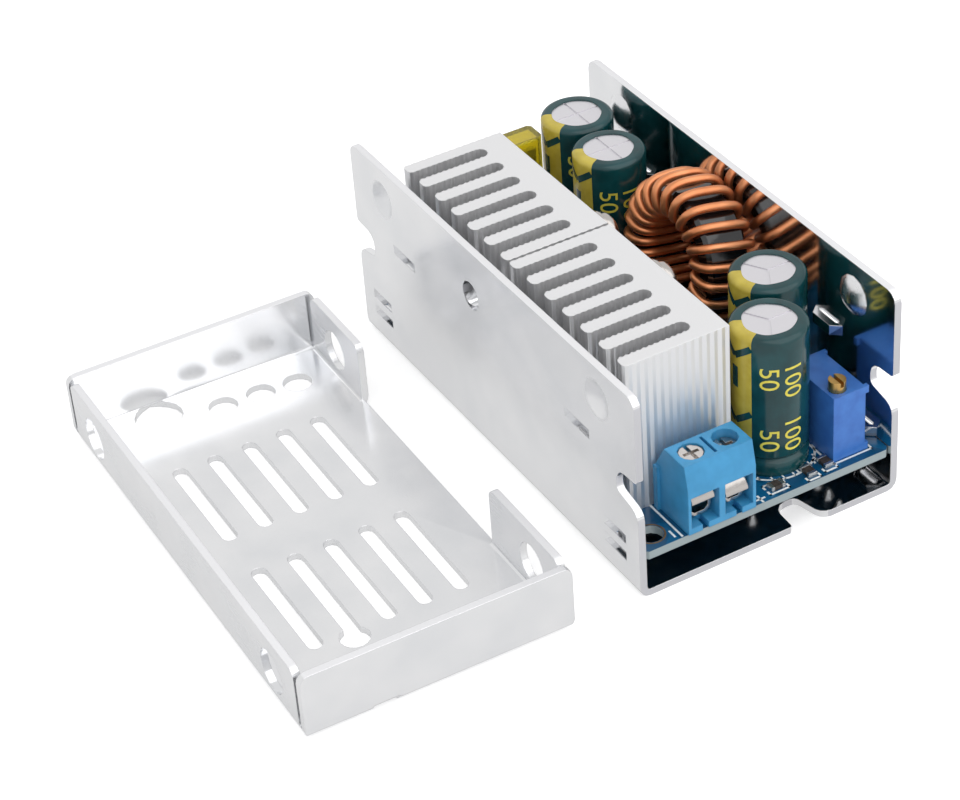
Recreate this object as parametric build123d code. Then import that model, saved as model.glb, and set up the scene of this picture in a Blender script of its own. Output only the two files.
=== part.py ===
from build123d import *
from math import atan2, cos, radians, remainder, sin, tan, tau
import os

os.makedirs("parts", exist_ok=True)

# All sizes are in millimetres. The origin is the middle of the chassis' underside.
# +X runs along the chassis to its output end, +Y to its right wall and +Z up.
# The module is open: its cover lies beside the chassis with its rim up.

# Round pieces are many-sided bars, and eased corners are a few short runs
round_sides = 16
hole_sides = 12
drill_sides = 8
lead_sides = 6
core_sides = 18
corner_steps = 3

# Chassis, one folded sheet open on top and at both ends
chassis_length = 71.5
chassis_width = 39.0
chassis_height = 30.5
sheet_thickness = 1.0
bend_radius = 1.5
wall_corner_radius = 1.6
notch_depth = 4.7
notch_barb_reach = 2.2
notch_barb_slope = 0.25
notch_barb_radius = 0.45
notch_foot_reach = 2.45
notch_foot_slope = 1.05
notch_foot_radius = 1.7
notch_wide_radius = 1.9
notch_tight_radius = 0.9
wall_notch_height = 15.8
base_notch_y = 5.5

# Snap domes pressed into both walls, and the plain hole in the left wall
dome_radius = 2.85
dome_rise = 1.3
dome_from_middle = 27.2
dome_below_top = 4.8
dome_sheet_draw = 0.1
wall_hole_radius = 2.05
wall_hole_x = -3.6
wall_hole_height = 23.4
wall_hole_rim = 0.5
wall_hole_rim_rise = 0.8

# Lanced bridges that stop the cover's flanges and hold the board's corners
bridge_rise = 1.3
bridge_ramp = 1.1
stop_bridge_length = 5.8
stop_bridge_width = 1.5
stop_bridge_x = 22.1
stop_bridge_height = 18.9
board_bridge_length = 5.0
board_bridge_width = 1.4
board_bridge_x = 30.2
board_bridge_play = 0.1

# Cover, a tray folded from the same sheet
cover_side_play = 0.1
cover_depth = 9.9
cover_gap_to_chassis = 9.0
cover_shift_x = -0.15
cover_turn = -1.0
cut_past_plate = 0.2
corner_slit = 0.7
corner_slit_height = 2.2
slit_past_bend = 0.1
rim_corner_radius = 1.2
flange_hole_play = 0.15
tab_far_start = 0.75
tab_far_end = 16.2
tab_near_start = 0.75
tab_near_end = 19.0
edge_set_back = 0.7
vent_width = 2.1
vent_pitch = 5.1
vent_count = 5
vent_far_start = 15.95
vent_far_length = 17.6
vent_near_end = 13.15
vent_near_length = 18.0
keyhole_radius = 2.0
keyhole_y = -5.5
keyhole_from_end = 12.6
small_hole_radius = 2.05
small_hole_places = [(6.65, 0.9), (6.85, 6.5), (7.45, 11.8)]
round_hole_radius = 3.35
round_hole_from_end = 3.85
hook_relief_width = 4.4
hook_relief_slope = 0.7
hook_relief_depth = 1.1
hook_relief_y = -7.5

# Circuit board
board_thickness = 1.2
board_underside = 5.5
board_side_play = 0.1
board_end_play = 0.25
board_hole_radius = 1.65
board_hole_from_end = 2.8
board_hole_from_side = 2.5
board_corner_cut = 0.5
lead_tail = 1.3
lead_play = 0.1
solder_radius = 0.75

# Two equal extruded heatsinks in a row, their fins towards the left wall
heatsink_height = 22.7
heatsink_depth = 15.2
heatsink_back_y = -0.7
heatsink_middle_x = 0.25
heatsink_spacing = 0.3
fin_count = 7
fin_thickness = 2.0
fin_gap = 2.27
back_plate = 3.9
fin_tip_radius = 0.6
flute_pitch = 1.1
flute_depth = 0.14

# The two power packages clamped to the heatsinks' backs
package_width = 10.2
package_thickness = 4.5
package_body_height = 9.1
package_tab_height = 6.65
package_tab_thickness = 1.3
package_hole_below_top = 2.75
package_hole_radius = 1.9
package_lead_pitch = 2.54
package_lead_width = 0.8
package_lead_thickness = 0.5
package_lead_from_back = 2.6
pad_thickness = 0.3
pad_margin = 0.9
package_hole_height = 17.0
transistor_x = -5.8
rectifier_x = 8.1
clamp_screw_radius = 1.45
clamp_screw_length = 3.2
clamp_hole_past_screw = 0.3
clamp_head_radius = 2.75
clamp_head_height = 1.7
clamp_thread_play = 0.05
clamp_slot_width = 0.7
clamp_slot_length = 3.0
clamp_slot_depth = 0.8
package_edge_cut = 0.5
tab_corner_cut = 0.8
washer_radius = 3.2
washer_thickness = 0.5
bush_wall = 0.35
bush_height = 1.1
bush_flange_inset = 0.2

# Electrolytic capacitors, all one size; each place is in from its end, then across
can_height = 20.9
sleeve_radius = 5.05
sleeve_wall = 0.15
sleeve_lip_radius = 3.45
can_groove_height = 2.4
can_groove_depth = 0.45
can_groove_width = 1.3
can_top_radius = 0.8
vent_score_width = 0.3
vent_score_depth = 0.15
vent_score_reach = 3.5
can_lead_radius = 0.3
can_lead_pitch = 5.0
output_capacitor_places = [(8.25, 5.45), (17.25, 11.5)]
input_capacitor_places = [(7.55, 11.9), (17.75, 10.7)]

# Choke, a ring core standing on edge with its axis across the module
choke_x = -1.9
choke_y = 13.1
choke_height = 12.0
choke_lean = -5.9
core_middle_radius = 8.06
core_half_thickness = 1.45
core_half_width = 3.15
core_corner_cut = 0.5
wire_radius = 0.62
wire_play = 0.08
wire_sides = 5
wire_corner = 0.8
turn_count = 22
turn_pitch = 15.3

# Blade fuse in two spring clips
fuse_from_end = 5.45
fuse_y = 1.05
fuse_length = 10.9
fuse_width = 3.6
fuse_body_height = 8.9
fuse_body_lift = 10.1
fuse_wall = 0.6
fuse_corner_cut = 0.5
link_height = 0.8
blade_width = 2.8
blade_thickness = 0.8
blade_length = 7.0
blade_inside = 6.5
clip_width = 2.6
clip_sheet = 0.4
clip_play = 0.05
clip_leg_width = 0.8
clip_base_half = 1.6
clip_pinch_height = 6.5
clip_waist_height = 4.5
clip_mouth_half = 1.5
clip_height = 8.7

# Screw terminals with two poles each
terminal_depth = 7.3
terminal_width = 10.0
terminal_height = 10.2
terminal_front_height = 6.7
terminal_top_back = 2.0
terminal_top_front = 6.55
terminal_floor = 0.9
terminal_wall_back = 1.6
terminal_front_wall = 1.0
terminal_window_width = 4.1
terminal_window_top = 5.6
terminal_cavity_top = 7.2
terminal_rib_width = 0.9
terminal_rib_rise = 0.4
terminal_sill_notch_width = 0.9
terminal_sill_notch_depth = 2.0
pole_pitch = 5.0
pole_x = 4.25
screw_well_play = 0.12
top_groove_width = 0.4
top_groove_depth = 1.0
top_groove_length = 3.6
terminal_from_end = 7.35
output_terminal_y = -7.2
input_terminal_y = -10.1

# Metal inside each pole: a fixed cage, a pressure leaf and a screw
cage_sheet = 0.45
cage_top_sheet = 0.8
cage_width = 3.4
cage_back = 2.2
cage_front = 5.9
cage_lift = 1.4
cage_height = 5.2
cage_corner_radius = 1.0
pin_width = 0.9
pin_play = 0.05
leaf_sheet = 0.4
leaf_gap = 0.1
leaf_under_cage = 0.2
leaf_side_play = 0.1
leaf_lip_width = 3.3
leaf_lip_end = 6.85
leaf_lip_drop = 1.2
pole_screw_head_radius = 1.6
pole_screw_head_height = 1.2
pole_screw_head_sunk = 0.2
pole_screw_shank_radius = 1.2
pole_screw_play = 0.05
pole_screw_cross_width = 0.5
pole_screw_cross_length = 2.2
pole_screw_cross_depth = 0.6
second_pole_turned_down = 1.0

# Multi-turn trimmer
trimmer_from_end = 6.6
trimmer_y = 13.25
trimmer_length = 9.5
trimmer_width = 4.9
trimmer_height = 10.0
trimmer_ear_length = 0.6
trimmer_ear_rise = 0.5
trimmer_ear_height = 1.1
adjuster_from_middle = 3.05
adjuster_aside = -0.75
adjuster_radius = 1.15
adjuster_play = 0.05
adjuster_seat_depth = 1.5
adjuster_proud = 1.5
adjuster_slot_width = 0.5
adjuster_slot_depth = 0.7
trimmer_pin_radius = 0.25
trimmer_pin_pitch = 2.5

# Small surface-mounted parts
chip_length = 2.0
chip_width = 1.25
chip_height = 0.6
chip_places = [(2.35, 9.9, 0), (2.0, 7.1, 0), (1.95, 2.1, 90)]
controller_x = 17.8
controller_y = 2.9
controller_length = 4.9
controller_width = 3.9
controller_height = 1.5
controller_lift = 0.1
controller_lead_pitch = 1.27
controller_lead_width = 0.42
controller_lead_thickness = 0.2
controller_lead_reach = 1.05
controller_edge_cut = 0.25

# Places that follow from the sizes above
end_x = chassis_length / 2
wall_inside = chassis_width / 2 - sheet_thickness
dome_height = chassis_height - dome_below_top
board_top = board_underside + board_thickness
board_length = chassis_length - 2 * board_end_play
board_width = 2 * (wall_inside - board_side_play)
cover_length = chassis_length
cover_width = 2 * (wall_inside - cover_side_play)
cover_y = -(chassis_width / 2 + cover_gap_to_chassis + cover_width / 2)
heatsink_length = fin_count * fin_thickness + (fin_count - 1) * fin_gap
output_capacitors = [(end_x - inward, y) for inward, y in output_capacitor_places]
input_capacitors = [(inward - end_x, y) for inward, y in input_capacitor_places]
fuse_x = fuse_from_end - end_x
terminal_x = end_x - terminal_from_end
trimmer_x = end_x - trimmer_from_end
adjuster_x = trimmer_x + adjuster_from_middle
adjuster_y = trimmer_y + adjuster_aside
near_heatsink_x = heatsink_middle_x + heatsink_spacing / 2
far_heatsink_x = heatsink_middle_x - heatsink_spacing / 2 - heatsink_length
package_hole_z = board_top + package_hole_height
package_back_y = heatsink_back_y + pad_thickness
package_bottom_z = package_hole_z + package_hole_below_top - package_tab_height - package_body_height
fuse_bottom_z = board_top + fuse_body_lift
blade_pitch = fuse_length - blade_width
adjuster_floor_z = board_top + trimmer_height - adjuster_seat_depth


def box(low, high):
    """A block between its lowest and highest corners."""
    size = [top - bottom for bottom, top in zip(low, high)]
    return Pos(*low) * Box(*size, align=(Align.MIN, Align.MIN, Align.MIN))


def rod(radius, start, height):
    """A round bar standing on its start point."""
    return Pos(*start) * Cylinder(radius, height, align=(Align.CENTER, Align.CENTER, Align.MIN))


def bar(radius, start, height, sides=round_sides):
    """A many-sided bar standing on its start point."""
    return Pos(*start) * extrude(RegularPolygon(radius, sides), height)


def bar_along_y(radius, start, length, sides=hole_sides):
    """A many-sided bar that runs from its start point towards +Y."""
    return Pos(*start) * Rot(X=-90) * extrude(RegularPolygon(radius, sides), length)


def prism_along_y(points, middle_y, width):
    """An outline in X and Z, as thick as the width across Y."""
    face = Plane.XZ * make_face(Polyline(*points, close=True))
    return Pos(0, middle_y, 0) * extrude(face, width / 2, both=True)


def polygon(points):
    """A flat face between points in order."""
    return Face(Wire.make_polygon(points, close=True))


def eased(corners, steps=corner_steps):
    """A flat outline from corners (x, y, radius), each rounded in a few short runs."""
    points = []
    for index, (x, y, radius) in enumerate(corners):
        corner = Vector(x, y)
        before = (Vector(*corners[index - 1][:2]) - corner).normalized()
        after = (Vector(*corners[(index + 1) % len(corners)][:2]) - corner).normalized()
        half = radians(before.get_angle(after)) / 2
        centre = corner + (before + after).normalized() * (radius / sin(half))
        first = corner + before * (radius / tan(half)) - centre
        last = corner + after * (radius / tan(half)) - centre
        begin = atan2(first.Y, first.X)
        swing = remainder(atan2(last.Y, last.X) - begin, tau)
        for step in range(steps + 1):
            angle = begin + swing * step / steps
            point = centre + Vector(cos(angle), sin(angle)) * radius
            if not points or (point - points[-1]).length > 0.001:
                points.append(point)
    if (points[-1] - points[0]).length < 0.001:
        points.pop()
    return make_face(Polyline(*points, close=True))


def eased_rectangle(length, width, radius):
    """A rectangle about the origin with all its corners eased."""
    corners = [(-1, -1), (1, -1), (1, 1), (-1, 1)]
    return eased([(x * length / 2, y * width / 2, radius) for x, y in corners])


def turned(outline, sides=round_sides):
    """A many-sided turning about Z. The outline is radii and heights; at radius 0 it closes to a point."""
    rings = []
    for radius, height in outline:
        angles = [radians(360 * side / sides) for side in range(sides if radius else 1)]
        rings.append([Vector(radius * cos(angle), radius * sin(angle), height) for angle in angles])
    faces = []
    for low, high in zip(rings, rings[1:]):
        for side in range(sides):
            corners = [low[side % len(low)], low[(side + 1) % len(low)],
                       high[(side + 1) % len(high)], high[side % len(high)]]
            first = 1 if len(low) == 1 else 0
            last = 3 if len(high) == 1 else 4
            faces.append(polygon(corners[first:last]))
    if outline[0] != outline[-1]:
        faces += [polygon(ring) for ring in (rings[0], rings[-1]) if len(ring) > 1]
    return Solid(Shell(faces))


def dome(radius, rise):
    """A shallow dome that stands on the XY plane."""
    shares = (1, 0.75, 0.42, 0)
    return turned([(radius * share, rise * (1 - share ** 2)) for share in shares], hole_sides)


def soldered_lead(x, y, top_z, radius):
    """A lead through the board, with its cone of solder underneath."""
    outline = [(radius, board_underside - lead_tail), (solder_radius, board_underside),
               (radius, board_underside), (radius, top_z)]
    return Pos(x, y, 0) * turned(outline, lead_sides)


# Chassis
def end_notched(low, high, high_radius, notch_at, barb):
    """A flat outline, low to high across, with a hook notch in each end. Its barb points to high or low."""
    inner = end_x - notch_depth
    hook = [(end_x, -notch_foot_reach, notch_foot_radius),
            (inner, notch_foot_slope - notch_foot_reach, notch_tight_radius),
            (inner, notch_barb_reach - notch_barb_slope, notch_wide_radius),
            (end_x, notch_barb_reach, notch_barb_radius)]
    hook = [(x, notch_at + barb * across, radius) for x, across, radius in hook[::barb]]
    right = [(end_x, low, 0)] + hook + [(end_x, high, high_radius)]
    left = [(-x, across, radius) for x, across, radius in reversed(right)]
    return eased(right + left)


def folded_channel():
    """The bent sheet with its ends trimmed to the wall and base outlines."""
    half = chassis_width / 2
    section = [(-half, chassis_height, 0), (-half, 0, bend_radius),
               (half, 0, bend_radius), (half, chassis_height, 0)]
    inner_radius = bend_radius - sheet_thickness
    section += [(wall_inside, chassis_height, 0), (wall_inside, sheet_thickness, inner_radius),
                (-wall_inside, sheet_thickness, inner_radius), (-wall_inside, chassis_height, 0)]
    channel = extrude(Plane.YZ * eased(section), end_x, both=True)
    wall = end_notched(0, chassis_height, wall_corner_radius, wall_notch_height, 1)
    base = end_notched(-chassis_width / 2, chassis_width / 2, 0, base_notch_y, -1)
    channel = channel & extrude(Plane.XZ * wall, chassis_width, both=True)
    return channel & extrude(base, chassis_height)


def on_wall(side, x, z):
    """A place on a wall's inner face, with its own Z pointing into the module."""
    return Plane(origin=(x, side * wall_inside, z), x_dir=(1, 0, 0), z_dir=(0, -side, 0))


def bridge(length, width):
    """A strip of the wall between two slits, pushed inwards with sloping ends."""
    half = length / 2
    inner = [(-half, 0), (bridge_ramp - half, bridge_rise), (half - bridge_ramp, bridge_rise), (half, 0)]
    outer = [(x, z - sheet_thickness) for x, z in reversed(inner)]
    return prism_along_y(inner + outer, 0, width)


def chassis():
    """Folded channel with its domes, hole and bridges."""
    body = folded_channel()
    rim = bar(wall_hole_radius + wall_hole_rim, (0, 0, 0), wall_hole_rim_rise, hole_sides)
    body += on_wall(-1, wall_hole_x, wall_hole_height) * rim
    drill = rod(wall_hole_radius, (0, 0, -2 * sheet_thickness), 4 * sheet_thickness)
    body -= on_wall(-1, wall_hole_x, wall_hole_height) * drill
    low_z = board_underside - board_bridge_width / 2
    high_z = board_top + board_bridge_play + board_bridge_width / 2
    for side in (-1, 1):
        for end in (-1, 1):
            place = on_wall(side, end * dome_from_middle, dome_height)
            body += place * dome(dome_radius, dome_rise)
            dimple = dome(dome_radius - 2 * dome_sheet_draw, dome_rise - dome_sheet_draw)
            body -= place * Pos(0, 0, -sheet_thickness) * dimple
            bridges = [
                (end * stop_bridge_x, stop_bridge_height, stop_bridge_length, stop_bridge_width),
                (end * board_bridge_x, low_z, board_bridge_length, board_bridge_width),
                (end * board_bridge_x, high_z, board_bridge_length, board_bridge_width),
            ]
            for x, z, length, width in bridges:
                place = on_wall(side, x, z)
                body -= place * Box(length, width, 3 * sheet_thickness)
                body += place * bridge(length, width)
    return body


# Cover
def flange(length, reach):
    """A strip of plate along X with its edge bent up at y = 0, corners rounded."""
    height = cover_depth
    section = [(0, 0, bend_radius), (reach, 0, 0), (reach, sheet_thickness, 0),
               (sheet_thickness, sheet_thickness, bend_radius - sheet_thickness),
               (sheet_thickness, height, 0), (0, height, 0)]
    strip = extrude(Plane.YZ * eased(section), length / 2, both=True)
    front = [(-length / 2, 0, 0), (length / 2, 0, 0),
             (length / 2, height, rim_corner_radius), (-length / 2, height, rim_corner_radius)]
    return strip & extrude(Plane.XZ * eased(front), 2 * reach, both=True)


def cover_plate_cuts():
    """Everything stamped out of the cover's plate: vents, holes and hook reliefs."""
    cuts = []
    far_middle = -cover_length / 2 + vent_far_start + vent_far_length / 2
    near_middle = cover_length / 2 - vent_near_end - vent_near_length / 2
    for row in range(vent_count):
        y = (row - (vent_count - 1) / 2) * vent_pitch
        cuts.append(Pos(far_middle, y) * eased_rectangle(vent_far_length, vent_width, vent_width / 2))
        cuts.append(Pos(near_middle, y) * eased_rectangle(vent_near_length, vent_width, vent_width / 2))
    far_end = -cover_length / 2
    near_end = cover_length / 2
    cuts.append(Pos(near_end - keyhole_from_end, keyhole_y) * RegularPolygon(keyhole_radius, round_sides))
    for from_end, y in small_hole_places:
        cuts.append(Pos(far_end + from_end, y) * RegularPolygon(small_hole_radius, round_sides))
    round_hole = RegularPolygon(round_hole_radius, round_sides)
    cuts.append(Pos(far_end + round_hole_from_end, hook_relief_y) * round_hole)
    wide = hook_relief_width / 2
    relief = [(near_end + hook_relief_depth, -wide), (near_end + hook_relief_depth, wide),
              (near_end - hook_relief_depth, wide - hook_relief_slope),
              (near_end - hook_relief_depth, hook_relief_slope - wide)]
    cuts.append(Pos(0, hook_relief_y) * make_face(Polyline(*relief, close=True)))
    return Sketch() + cuts


def cover():
    """Folded tray: plate, full end flanges, one long flange and two tabs."""
    half_length = cover_length / 2
    half_width = cover_width / 2
    reach = 3 * bend_radius
    plate = box(
        (-half_length + bend_radius, -half_width + bend_radius, 0),
        (half_length - bend_radius, half_width - edge_set_back, sheet_thickness),
    )
    long_length = cover_length - 2 * (sheet_thickness + corner_slit)
    tray = plate + Pos(0, -half_width, 0) * flange(long_length, reach)
    for side in (-1, 1):
        tray += Pos(side * half_length, 0, 0) * Rot(Z=90 * side) * flange(cover_width, reach)
    tabs = [(-half_length + sheet_thickness + tab_far_start, -half_length + tab_far_end),
            (half_length - tab_near_end, half_length - sheet_thickness - tab_near_start)]
    for start, end in tabs:
        tab = flange(end - start, reach)
        tray += Pos((start + end) / 2, half_width, 0) * Rot(Z=180) * tab
    ends = [(-half_width, 0, bend_radius), (half_width, 0, bend_radius),
            (half_width, cover_depth, 0), (-half_width, cover_depth, 0)]
    tray = tray & extrude(Plane.YZ * eased(ends), half_length, both=True)
    hole = bar_along_y(dome_radius + flange_hole_play, (0, -cover_width, 0), 2 * cover_width, round_sides)
    for side in (-1, 1):
        tray -= Pos(side * dome_from_middle, 0, dome_below_top) * hole
        slit_x = side * (half_length - sheet_thickness - corner_slit / 2)
        slit = box((-corner_slit / 2, -cover_width, corner_slit_height),
                   (corner_slit / 2, cover_width, cover_depth))
        slit += bar_along_y(corner_slit / 2, (0, -cover_width, corner_slit_height), 2 * cover_width)
        edges = box((-half_length, -half_width, 0), (half_length, half_width, cover_depth))
        slit_reach = half_width - bend_radius - slit_past_bend
        edges -= box((-half_length, -slit_reach, 0), (half_length, slit_reach, cover_depth))
        tray -= Pos(slit_x, 0, 0) * slit & edges
    tray -= extrude(cover_plate_cuts(), sheet_thickness + cut_past_plate, both=True)
    return Pos(cover_shift_x, cover_y, 0) * Rot(Z=cover_turn) * tray


# Circuit board
def capacitor_lead_places():
    """Where the capacitors' two leads each pass through the board."""
    middles = output_capacitors + input_capacitors
    return [(x, y + side * can_lead_pitch / 2) for x, y in middles for side in (-1, 1)]


def package_lead_places():
    """The power packages' three leads each."""
    y = package_back_y + package_lead_from_back
    return [(x + step * package_lead_pitch, y) for x in (transistor_x, rectifier_x) for step in (-1, 0, 1)]


def terminal_frames():
    """The two terminals' own frames: z = 0 on the board and x = 0 at their backs."""
    output = Location((terminal_x, output_terminal_y, board_top))
    input = Location((-terminal_x, input_terminal_y, board_top), (0, 0, 180))
    return {"output": output, "input": input}


def pole_y(pole):
    """Where pole 1 or 2 is across its terminal."""
    return (pole - 1.5) * pole_pitch


def trimmer_pin_places():
    """The trimmer's three pins in line."""
    return [(trimmer_x + step * trimmer_pin_pitch, trimmer_y) for step in (-1, 0, 1)]


def clip_leg_places():
    """Both legs of both fuse clips."""
    clips = [fuse_y + side * blade_pitch / 2 for side in (-1, 1)]
    return [(fuse_x, clip_y + leg * clip_width / 4) for clip_y in clips for leg in (-1, 1)]


def circuit_board():
    """Drilled board that lies on the lower bridges."""
    board = Pos(0, 0, board_underside + board_thickness / 2) * Box(board_length, board_width, board_thickness)
    board = chamfer(board.edges().filter_by(Axis.Z).group_by(Axis.X)[-1], board_corner_cut)
    drills = [(x, y, can_lead_radius + lead_play, lead_sides) for x, y in capacitor_lead_places()]
    drills += [(x, y, trimmer_pin_radius + lead_play, lead_sides) for x, y in trimmer_pin_places()]
    drills += [(x, y, wire_radius + 2 * lead_play, drill_sides) for x, y in choke_lead_places()]
    hole_x = board_length / 2 - board_hole_from_end
    drills.append((hole_x, -board_width / 2 + board_hole_from_side, board_hole_radius, hole_sides))
    for x, y, radius, sides in drills:
        board -= bar(radius, (x, y, 0), 2 * board_top, sides)
    slots = [(x, y, package_lead_width, package_lead_thickness) for x, y in package_lead_places()]
    slots += [(x, y, clip_sheet, clip_leg_width) for x, y in clip_leg_places()]
    for frame in terminal_frames().values():
        for pole in (1, 2):
            pin = (frame * Pos(pole_x, pole_y(pole), 0)).position
            slots.append((pin.X, pin.Y, pin_width, pin_width))
    for x, y, length, width in slots:
        board -= Pos(x, y, board_top) * Box(length + 2 * pin_play, width + 2 * pin_play, 4 * board_thickness)
    return board


# Heatsinks
def fluted_flank(x, into_fin, start_y, end_y):
    """Points along an end face, zigzagging by the flute depth."""
    steps = 2 * round(abs(end_y - start_y) / flute_pitch)
    points = []
    for step in range(steps + 1):
        depth = flute_depth if step % 2 else 0
        points.append((x + into_fin * depth, start_y + (end_y - start_y) * step / steps))
    return points


def heatsink(start_x, screw_x):
    """Extruded comb with round-ended slots and fluted end faces."""
    tip_y = heatsink_back_y - heatsink_depth
    slot_y = heatsink_back_y - back_plate - fin_gap / 2
    tip = fin_tip_radius
    inset = tip * (1 - cos(radians(45)))
    points = []
    for fin in range(fin_count):
        left = start_x + fin * (fin_thickness + fin_gap)
        right = left + fin_thickness
        if fin == 0:
            points += fluted_flank(left, 1, heatsink_back_y, tip_y + tip)
        else:
            points.append((left, tip_y + tip))
        points += [(left + inset, tip_y + inset), (left + tip, tip_y)]
        points += [(right - tip, tip_y), (right - inset, tip_y + inset)]
        if fin == fin_count - 1:
            points += fluted_flank(right, -1, tip_y + tip, heatsink_back_y)
            break
        points.append((right, tip_y + tip))
        for step in range(2 * corner_steps + 1):
            angle = radians(180 * step / (2 * corner_steps))
            points.append((right + fin_gap / 2 * (1 - cos(angle)), slot_y + fin_gap / 2 * sin(angle)))
    comb = Pos(0, 0, board_top) * extrude(make_face(Polyline(*points, close=True)), heatsink_height)
    depth = clamp_screw_length + clamp_hole_past_screw
    start = (screw_x, heatsink_back_y - depth, package_hole_z)
    return comb - bar_along_y(clamp_screw_radius + clamp_thread_play, start, depth)


# Power packages
def package_body(x):
    """Moulded block, flush with the tab's back."""
    low = (x - package_width / 2, package_back_y + package_tab_thickness, package_bottom_z)
    high = (x + package_width / 2, package_back_y + package_thickness, package_bottom_z + package_body_height)
    block = box(low, high)
    front = block.edges().group_by(Axis.Y)[-1]
    return chamfer(front, package_edge_cut)


def package_frame(x):
    """Copper tab with its hole, and three leads down through the board."""
    top_z = package_hole_z + package_hole_below_top
    tab = box((x - package_width / 2, package_back_y, package_bottom_z),
              (x + package_width / 2, package_back_y + package_tab_thickness, top_z))
    corners = tab.edges().filter_by(Axis.Y).group_by(Axis.Z)[-1]
    tab = chamfer(corners, tab_corner_cut)
    hole = bar_along_y(package_hole_radius, (x, package_back_y, package_hole_z), package_tab_thickness)
    return tab - hole


def package_leads(x):
    """Three flat leads from under the moulded block to below the board."""
    y = package_back_y + package_lead_from_back
    leads = []
    for step in (-1, 0, 1):
        lead_x = x + step * package_lead_pitch
        low_z = board_underside - lead_tail
        middle = (package_bottom_z + low_z) / 2
        lead = Box(package_lead_width, package_lead_thickness, package_bottom_z - low_z)
        leads.append(Pos(lead_x, y, middle) * lead)
    return leads


def insulating_pad(x):
    """Thin sheet between the tab and the heatsink, with the screw's hole."""
    half = package_width / 2 + pad_margin
    top_z = package_hole_z + package_hole_below_top + pad_margin
    pad = box((x - half, heatsink_back_y, package_bottom_z - pad_margin), (x + half, package_back_y, top_z))
    return pad - bar_along_y(package_hole_radius, (x, heatsink_back_y, package_hole_z), pad_thickness)


def insulating_bush(x):
    """Flanged sleeve that keeps the screw off the tab, its flange under the washer."""
    inner = clamp_screw_radius + clamp_thread_play
    outer = package_hole_radius - clamp_thread_play
    front = package_back_y + package_tab_thickness
    flange_radius = washer_radius - bush_flange_inset
    outline = [(inner, -bush_height), (outer, -bush_height), (outer, 0), (flange_radius, 0),
               (flange_radius, bush_wall), (inner, bush_wall), (inner, -bush_height)]
    return Pos(x, front, package_hole_z) * Rot(X=-90) * turned(outline, hole_sides)


def washer_front_y():
    """The front of the washer, where the screw's head sits."""
    return package_back_y + package_tab_thickness + bush_wall + washer_thickness


def clamp_washer(x):
    """Plain round washer."""
    back = washer_front_y() - washer_thickness
    inner = clamp_screw_radius + clamp_thread_play
    outline = [(inner, 0), (washer_radius, 0), (washer_radius, washer_thickness),
               (inner, washer_thickness), (inner, 0)]
    return Pos(x, back, package_hole_z) * Rot(X=-90) * turned(outline, hole_sides)


def clamp_screw(x):
    """Pan-head screw with a cross recess, threaded into the heatsink's back."""
    front = washer_front_y()
    end_y = heatsink_back_y - clamp_screw_length
    top = clamp_head_height
    outline = [(clamp_screw_radius, end_y - front), (clamp_screw_radius, 0), (clamp_head_radius, 0),
               (clamp_head_radius, top / 2), (0.9 * clamp_head_radius, 0.8 * top),
               (0.7 * clamp_head_radius, top)]
    screw = Pos(x, front, package_hole_z) * Rot(X=-90) * turned(outline, hole_sides)
    for length, width in [(clamp_slot_length, clamp_slot_width), (clamp_slot_width, clamp_slot_length)]:
        screw -= Pos(x, front + top, package_hole_z) * Box(length, 2 * clamp_slot_depth, width)
    return screw


# Capacitors
def can_wall(radius):
    """Radii and heights up the side of a can or sleeve, with its rolled groove."""
    half = can_groove_width / 2
    return [(radius, can_groove_height - half), (radius - can_groove_depth, can_groove_height),
            (radius, can_groove_height + half), (radius, can_height - can_top_radius)]


def capacitor_can(x, y, score_angles):
    """Drawn aluminium can with its rolled groove and the scored vent on top."""
    radius = sleeve_radius - sleeve_wall
    top = can_height - sleeve_wall
    outline = [(radius, 0)] + can_wall(radius) + [(radius - can_top_radius, top)]
    can = Pos(x, y, board_top) * turned(outline)
    score = box((0, -vent_score_width / 2, -vent_score_depth), (vent_score_reach, vent_score_width / 2, 1))
    for angle in score_angles:
        can -= Pos(x, y, board_top + top) * Rot(Z=angle) * score
    return can


def capacitor_sleeve(x, y):
    """Shrunk film that follows the can and laps over its top."""
    radius = sleeve_radius - sleeve_wall
    top = can_height - sleeve_wall
    inside = [(radius, 0)] + can_wall(radius) + [(radius - can_top_radius, top), (sleeve_lip_radius, top)]
    outside = [(sleeve_radius, 0)] + can_wall(sleeve_radius)
    outside += [(sleeve_radius - can_top_radius, can_height), (sleeve_lip_radius, can_height)]
    return Pos(x, y, board_top) * turned(inside + outside[::-1] + inside[:1])


# Choke
def ring_point(angle, outward, across):
    """A point of the ring in its own frame: angle about Y, then out and across."""
    radius = core_middle_radius + outward
    return Vector(radius * cos(radians(angle)), across, radius * sin(radians(angle)))


def choke_frame():
    """The choke leans towards the right wall about its lowest line."""
    return Location((choke_x, choke_y, board_top + choke_height), (choke_lean, 0, 0))


def wire_loop():
    """One turn round the core as steps outward and across, with cut corners."""
    out = core_half_thickness + wire_play + wire_radius
    side = core_half_width + wire_play + wire_radius
    cut = wire_corner
    return [(out, cut - side), (out, side - cut), (out - cut, side), (cut - out, side),
            (-out, side - cut), (-out, cut - side), (cut - out, -side), (out - cut, -side)]


def winding_route():
    """Corner points of the whole wire, from one foot round the core to the other foot."""
    loop = wire_loop()
    start_angle = -90 - (360 - turn_count * turn_pitch) / 2
    points = []
    for step in range(turn_count * len(loop) + 1):
        angle = start_angle - turn_pitch * step / len(loop)
        outward, across = loop[step % len(loop)]
        points.append(choke_frame() * Pos(*ring_point(angle, outward, across)))
    points = [place.position for place in points]
    low_z = board_underside - lead_tail
    first = Vector(points[0].X, points[0].Y, low_z)
    last = Vector(points[-1].X, points[-1].Y, low_z)
    return [first] + points + [last]


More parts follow.
